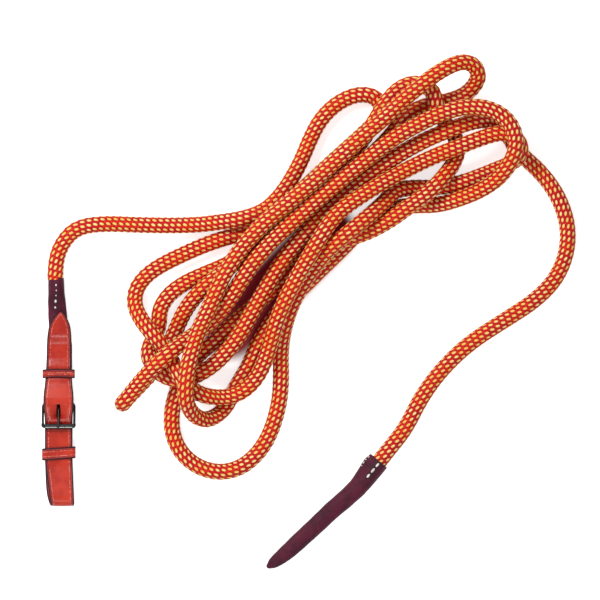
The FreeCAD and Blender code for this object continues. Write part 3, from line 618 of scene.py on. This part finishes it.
strap_obj.modifiers.remove(carve)
strap_obj.data = pierced
bpy.data.objects.remove(cutter)


def keeper(name, node, body, low_z, inner_h, y_low, long, inner_w=20.8, skew=0.0, sag=0.0):
    """A leather loop round the strap, with its long way along the strap."""
    mid_h, mid_w, soft = inner_h + WRAP, inner_w + WRAP, 1.6
    corners = [(0, 0, 0), (mid_w / 2, 0, soft), (mid_w / 2, mid_h, soft), (-mid_w / 2, mid_h, soft),
               (-mid_w / 2, 0, soft), (0, 0, 0)]
    loop, _ = resample(rounded(corners), 0.45)
    loop = loop[:-1]
    ahead_xz = unit(np.roll(loop, -1, axis=0) - np.roll(loop, 1, axis=0))
    ys = y_low + long / 2.0 + skew * loop[:, 0] / mid_w - sag * (2.0 * loop[:, 0] / mid_w) ** 2
    centre = np.column_stack([loop[:, 0], ys, loop[:, 1] + low_z + WRAP / 2.0])
    outward = np.column_stack([ahead_xz[:, 1], np.zeros(len(loop)), -ahead_xz[:, 0]])
    along = np.tile((0.0, 1.0, 0.0), (len(loop), 1))
    halves = np.full(len(loop), long / 2.0)
    co, lay = band_rings(centre, outward, along, halves, WRAP, crease=0.12, crown=0.0)
    lay = np.concatenate([lay, lay[:1] + (0.0, 1.0)])
    lay[-1, :, 1] = lay[-2, :, 1] + 0.45
    return add_piece(name, skin(name, co * MM, lay, "lay", joined=True), node, body)


keeper("upper_keeper", "keeper_fixed", "leash", THICK + LAYER_GAP, THICK + 2 * LAYER_GAP, 36.0, 6.3, sag=0.5)
keeper("lower_keeper", "keeper_sliding", "keeper", 0.0, 2 * THICK + 3 * LAYER_GAP, -23.4, 8.6,
       inner_w=21.6, skew=1.6)

# ------------------------------------------------------------------ buckle frame
# Forged thin at the sides and knuckled at the front corners.
FRAME_INNER = 20.6            # clear width inside the frame
BAR_X = FRAME_INNER / 2.0 + WIRE_R
HEEL_ROUND = 3.0
FRONT_ROUND = 1.7
SIDE_THIN = 0.28
KNUCKLE = 0.75
KNUCKLE_LONG = 1.5
CIRCLE_POINTS = 20
frame_corners = [
    (0, 0, 0), (BAR_X, 0, HEEL_ROUND), (BAR_X, FRAME_REACH, FRONT_ROUND),
    (-BAR_X, FRAME_REACH, FRONT_ROUND), (-BAR_X, 0, HEEL_ROUND), (0, 0, 0),
]
frame_line, _ = resample(rounded(frame_corners), 0.35)
frame_line = frame_line[:-1]
frame_way = unit(np.roll(frame_line, -1, axis=0) - np.roll(frame_line, 1, axis=0))
from_knuckle = np.hypot(abs(frame_line[:, 0]) - BAR_X, frame_line[:, 1] - FRAME_REACH)
on_side = np.clip((abs(frame_line[:, 0]) - 9.0) / 2.0, 0.0, 1.0)
wire = WIRE_R - SIDE_THIN * on_side + KNUCKLE * np.exp(-(from_knuckle / KNUCKLE_LONG) ** 2)
circle = np.linspace(0.0, 2.0 * math.pi, CIRCLE_POINTS + 1)[:-1]
frame_rings = []
for (x, s), (wx, ws), r in zip(frame_line, frame_way, wire):
    flat_x, flat_s = x + np.cos(circle) * r * ws, s - np.cos(circle) * r * wx
    lift = np.sin(circle) * r
    frame_rings.append(np.column_stack([
        flat_x,
        HEEL_Y - flat_s * math.cos(FRAME_TILT) + lift * math.sin(FRAME_TILT),
        HEEL_Z + flat_s * math.sin(FRAME_TILT) + lift * math.cos(FRAME_TILT),
    ]))
frame_lay = np.zeros((len(frame_rings) + 1, CIRCLE_POINTS + 1, 2))
frame_mesh = skin("frame", np.array(frame_rings) * MM, frame_lay, "lay", joined=True)
frame_mesh.materials.append(metal_mat)
frame_obj = link(bpy.data.objects.new("forged_frame", frame_mesh))
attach(frame_obj, "leash")
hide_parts("buckle_frame")

# ------------------------------------------------------------------ sleeve and tip
COVER_AROUND = 56
COVER_STEP = 0.6


def cover(name, node, spine, halves, fin, pucker):
    """A leather cover over the rope's end: (x, y, z) spine, (wide, tall) halves, a fin on one side."""
    way = unit(np.gradient(spine, axis=0) * (1.0, 1.0, 0.0))
    out_side = np.column_stack([way[:, 1], -way[:, 0], np.zeros(len(way))])
    angle = np.linspace(0.0, 2.0 * math.pi, COVER_AROUND + 1)[:-1]
    rings, lays = [], []
    walked = walk(spine)
    for c, o, (wide, tall), f, s in zip(spine, out_side, halves, fin, walked):
        grow = 1.0 + pucker * np.sin(angle * 3.0 + s * 0.35) * np.sin(s * 0.21 + angle)
        x = np.cos(angle) * wide * grow + f * np.clip(np.cos(angle), 0.0, 1.0) ** 6
        z = np.sin(angle) * tall * grow
        rings.append(c + x[:, None] * o + z[:, None] * np.array((0.0, 0.0, 1.0)))
        lays.append(np.column_stack([np.linspace(0.0, 1.0, COVER_AROUND + 1), np.full(COVER_AROUND + 1, s)]))
    rings = np.array(rings)
    rings[..., 2] = np.maximum(rings[..., 2], 0.1)
    return add_piece(name, skin(name, rings * MM, np.array(lays), "lay"), node)


def along_rows(rows, step):
    """Rows of numbers at places along the piece, filled in smoothly a step apart."""
    rows = np.array(rows, float)
    at = walk(rows[:, :2])
    want = np.arange(0.0, at[-1], step)
    want = np.append(want[:-1] if at[-1] - want[-1] < step / 2 else want, at[-1])
    filled = np.column_stack([np.interp(want, at, rows[:, k]) for k in range(rows.shape[1])])
    reach = int(3.0 / step)
    for k in range(rows.shape[1]):
        filled[1:-1, k] = smooth(filled[:, k], reach)[1:-1] if k > 1 else filled[1:-1, k]
    return filled


# x, y, z, half width, half height, fin
SLEEVE_ROWS = [
    (-1.9, 108.2, 6.9, 5.75, 5.7, 0.0), (-1.8, 104, 6.7, 5.7, 5.3, 0.0), (-1.6, 98, 6.4, 5.9, 4.6, 0.2),
    (-1.2, 90, 5.4, 6.4, 2.9, 0.3), (-0.9, 85, 4.4, 6.7, 1.6, 0.3), (-0.5, 76, 4.3, 6.9, 1.4, 0.0),
    (0.0, 68, 4.3, 6.9, 1.35, 0.0),
]
sleeve_rows = along_rows(SLEEVE_ROWS, COVER_STEP)
cover("leather_sleeve", "sleeve", sleeve_rows[:, :3], sleeve_rows[:, 3:5], sleeve_rows[:, 5], 0.025)
TIP_ROWS = [
    (233.6, -25.4, 6.3, 6.3, 6.4, 3.0), (229.5, -30.2, 6.2, 6.5, 6.3, 3.9),
    (224.0, -36.8, 5.7, 6.5, 5.6, 2.4), (217.3, -44.2, 5.4, 6.6, 5.1, 0.9),
    (208.5, -52.0, 5.0, 6.6, 4.7, 0.2), (198.1, -60.7, 4.7, 6.5, 4.4, 0.0),
    (186.8, -71.5, 4.5, 6.4, 4.2, 0.0), (175.2, -82.2, 4.2, 6.2, 4.0, 0.0),
    (168.0, -88.9, 4.0, 5.9, 3.8, 0.0), (161.5, -94.4, 3.7, 5.3, 3.4, 0.0),
    (156.5, -98.2, 3.2, 4.4, 2.9, 0.0), (153.2, -100.6, 2.8, 3.1, 2.3, 0.0),
    (151.6, -101.6, 2.5, 1.6, 1.6, 0.0), (151.0, -102.0, 2.4, 0.4, 0.5, 0.0),
]
tip_rows = along_rows(TIP_ROWS, COVER_STEP)
cover("leather_tip", "tip_cover", tip_rows[:, :3], tip_rows[:, 3:5], tip_rows[:, 5], 0.012)


def strand(start, stop, wide, flat=1.0):
    """Rings of a short bulging strand from one point to another."""
    start, stop = np.array(start, float), np.array(stop, float)
    way = unit(stop - start)
    side_way = unit(np.cross(way, (0.0, 0.0, 1.0)))
    rise = np.cross(side_way, way) * flat
    angle = np.linspace(0.0, 2.0 * math.pi, 13)[:-1, None]
    rings = []
    for t in np.linspace(0.0, 1.0, 9):
        r = wide / 2.0 * max(0.12, math.sqrt(max(0.0, 1.0 - (2.0 * t - 1.0) ** 2)))
        rings.append(start + (stop - start) * t + (np.cos(angle) * side_way + np.sin(angle) * rise) * r)
    return np.array(rings)


def sew(name, node, spots):
    """Sewing threads, each over a near-black patch of painted shade for the hole that it is drawn into."""
    for k, (start, stop, wide) in enumerate(spots):
        start, stop = np.array(start, float), np.array(stop, float)
        longer = (stop - start) * 0.35
        sunk = np.array((0.0, 0.0, -0.25))
        # a wider, flattened near-black patch sunk just under each thread: painted shade of its needle hole
        hole_shade_rings = strand(start - longer + sunk, stop + longer + sunk, wide * 1.7, 0.25)
        for part, rings, mat, slot in (
            ("stitch", strand(start, stop, wide), thread_mat, "thread"),
            ("hole", hole_shade_rings, hole_shade_mat, "dark_leather"),
        ):
            mesh = skin(name + "_" + part, rings * MM, np.zeros((9, 13, 2)), "lay")
            mesh.materials.append(mat)
            piece = link(bpy.data.objects.new("%s_%s_%02d" % (name, part, k + 1), mesh))
            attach(piece, "leash")
            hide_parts(node)


def on_ridge(rows, at, shift=0.0):
    """A point just over a cover's ridge, some way along it and to its left."""
    last, k = len(rows) - 1, int(at / COVER_STEP)
    row = rows[min(last, k)]
    way = unit(rows[min(last, k + 1)][:2] - rows[max(0, k - 1)][:2])
    drop = row[4] * (1.0 - math.sqrt(max(0.0, 1.0 - (shift / (row[3] + row[5])) ** 2)))
    return row[0] + way[1] * shift, row[1] - way[0] * shift, row[2] + row[4] - drop + 0.3


def on_flap(at):
    """A point by the outer edge of the tip's flap, some way along it."""
    row = tip_rows[int(at / COVER_STEP)]
    out_to = row[3] + row[5] - 0.8
    return row[0] - 0.76 * out_to, row[1] + 0.65 * out_to, row[2] + 1.8


# five threads down the sleeve: place along it, length, thickness, place to its left
SLEEVE_THREADS = [
    (4.6, 1.6, 1.2, -0.2), (8.6, 1.3, 1.0, -0.3), (12.0, 1.3, 0.9, 0.2), (15.6, 2.9, 1.7, 0.7),
    (20.4, 2.3, 1.5, 1.3),
]
sleeve_sewn = []
for at, long, wide, shift in SLEEVE_THREADS:
    drawn_in = on_ridge(sleeve_rows, at, shift)
    drawn_out = on_ridge(sleeve_rows, at + long, shift + 0.3)
    sleeve_sewn.append((drawn_in, drawn_out, wide))
sew("sleeve", "sleeve_stitches", sleeve_sewn)

# three threads by the tip's mouth, and four small ones along its flap
tip_sewn = []
for at in (1.2, 6.4, 11.6):
    tip_sewn.append((on_ridge(tip_rows, at, 0.4), on_ridge(tip_rows, at + 3.8, 0.4), 1.75))
for at in (2.2, 4.9, 7.6, 10.3):
    tip_sewn.append((on_flap(at), on_flap(at + 1.5), 0.9))
sew("tip", "tip_stitches", tip_sewn)


def paint(obj, mat):
    data = obj.data
    if not data.materials:
        data.materials.append(mat)
    for i in range(len(data.materials)):
        data.materials[i] = mat


paint(nodes["chape"], strap_mat)
for name in ("buckle_frame", "buckle_prong"):
    paint(nodes[name], metal_mat)
paint(nodes["buckle_roller"], roller_mat)


# ------------------------------------------------------------------ stage and light
def seen_ray(tree):
    """1 for a ray that shows the background to the camera, straight or by a reflection."""
    path = tree.nodes.new("ShaderNodeLightPath").outputs
    seen = maths(tree, "ADD", path["Is Camera Ray"], path["Is Glossy Ray"])
    return maths(tree, "ADD", seen, path["Is Transmission Ray"], True)


# The floor glows white for seen rays, apart from a painted dark maroon shade under the hank's waist.
WORLD_LIGHT = 0.42
FLOOR_GLOW = 0.72
FLOOR_HALF = 3.0
WAIST_A, WAIST_B, WAIST_R = (0.124, 0.070), (0.195, 0.141), 26.0 * MM
SHADE_FADE = 11.0 * MM
PATCH_STEP = 2.0 * MM
patch_x = np.arange(0.04, 0.39, PATCH_STEP)
patch_y = np.arange(-0.05, 0.285, PATCH_STEP)
floor_x = np.concatenate([[-FLOOR_HALF], patch_x, [FLOOR_HALF]])
floor_y = np.concatenate([[-FLOOR_HALF], patch_y, [FLOOR_HALF]])
grid_x, grid_y = np.meshgrid(floor_x, floor_y)
run_x, run_y = WAIST_B[0] - WAIST_A[0], WAIST_B[1] - WAIST_A[1]
share = (grid_x - WAIST_A[0]) * run_x + (grid_y - WAIST_A[1]) * run_y
share = np.clip(share / (run_x ** 2 + run_y ** 2), 0.0, 1.0)
aside = np.hypot(grid_x - WAIST_A[0] - share * run_x, grid_y - WAIST_A[1] - share * run_y)
shade = np.clip((WAIST_R - aside) / SHADE_FADE, 0.0, 1.0)
across_n, down_n = len(floor_x), len(floor_y)
first = (np.arange(down_n - 1)[:, None] * across_n + np.arange(across_n - 1)[None, :]).ravel()
floor_faces = np.column_stack([first, first + 1, first + across_n + 1, first + across_n])
floor_mesh = bpy.data.meshes.new("floor")
floor_co = np.column_stack([grid_x.ravel(), grid_y.ravel(), np.zeros(grid_x.size)])
floor_mesh.from_pydata(floor_co.tolist(), [], floor_faces.tolist())
shade_layer = floor_mesh.attributes.new("shade", "FLOAT", "POINT")
shade_layer.data.foreach_set("value", shade.ravel().astype(np.float32))
floor = link(bpy.data.objects.new("floor", floor_mesh))
floor.location.z = -0.0002
floor_mat, floor_tree, floor_shader = new_material("floor")
floor_links = floor_tree.links
floor_shader.inputs["Roughness"].default_value = 0.9
glow = floor_tree.nodes.new("ShaderNodeEmission")
under = floor_tree.nodes.new("ShaderNodeAttribute")
under.attribute_name = "shade"
shaded = mask(floor_tree, under.outputs["Fac"], 0.0, 1.0)
# painted shade: the glow and the floor's own colour fade to dark maroon under the waist
glow_tone = mix(floor_tree, shaded, (1.0, 1.0, 1.0), (0.04, 0.0, 0.003))
floor_tone = mix(floor_tree, shaded, (0.85, 0.85, 0.85), (0.30, 0.03, 0.03))
floor_links.new(glow_tone, glow.inputs["Color"])
floor_links.new(floor_tone, floor_shader.inputs["Base Color"])
glow.inputs["Strength"].default_value = FLOOR_GLOW
both = floor_tree.nodes.new("ShaderNodeAddShader")
blend_node = floor_tree.nodes.new("ShaderNodeMixShader")
out_node = floor_tree.nodes["Material Output"]
floor_links.new(floor_shader.outputs[0], both.inputs[0])
floor_links.new(glow.outputs[0], both.inputs[1])
floor_links.new(seen_ray(floor_tree), blend_node.inputs[0])
floor_links.new(floor_shader.outputs[0], blend_node.inputs[1])
floor_links.new(both.outputs[0], blend_node.inputs[2])
floor_links.new(blend_node.outputs[0], out_node.inputs["Surface"])
floor_mesh.materials.append(floor_mat)

world = bpy.data.worlds.new("world")
scene.world = world
world.use_nodes = True
world_tree = world.node_tree
background = world_tree.nodes["Background"]
background.inputs["Color"].default_value = (1.0, 1.0, 1.0, 1.0)
# the object is lit at the world's plain level, and reflects it as white as the camera sees it
level = maths(world_tree, "MULTIPLY", seen_ray(world_tree), 1.0 - WORLD_LIGHT)
level = maths(world_tree, "ADD", level, WORLD_LIGHT)
world_tree.links.new(level, background.inputs["Strength"])


def area(name, at, aim, power, wide):
    data = bpy.data.lights.new(name, "AREA")
    data.energy = power
    data.size = wide
    lamp = link(bpy.data.objects.new(name, data))
    lamp.location = at
    lamp.rotation_euler = (Vector(aim) - Vector(at)).to_track_quat("-Z", "Y").to_euler()
    return lamp


centre = (0.175, 0.1, 0.0)
area("key", (-0.55, 0.95, 1.35), centre, 19.0, 0.45)
area("near_low", (0.0, -0.80, 1.15), centre, 5.0, 0.22)
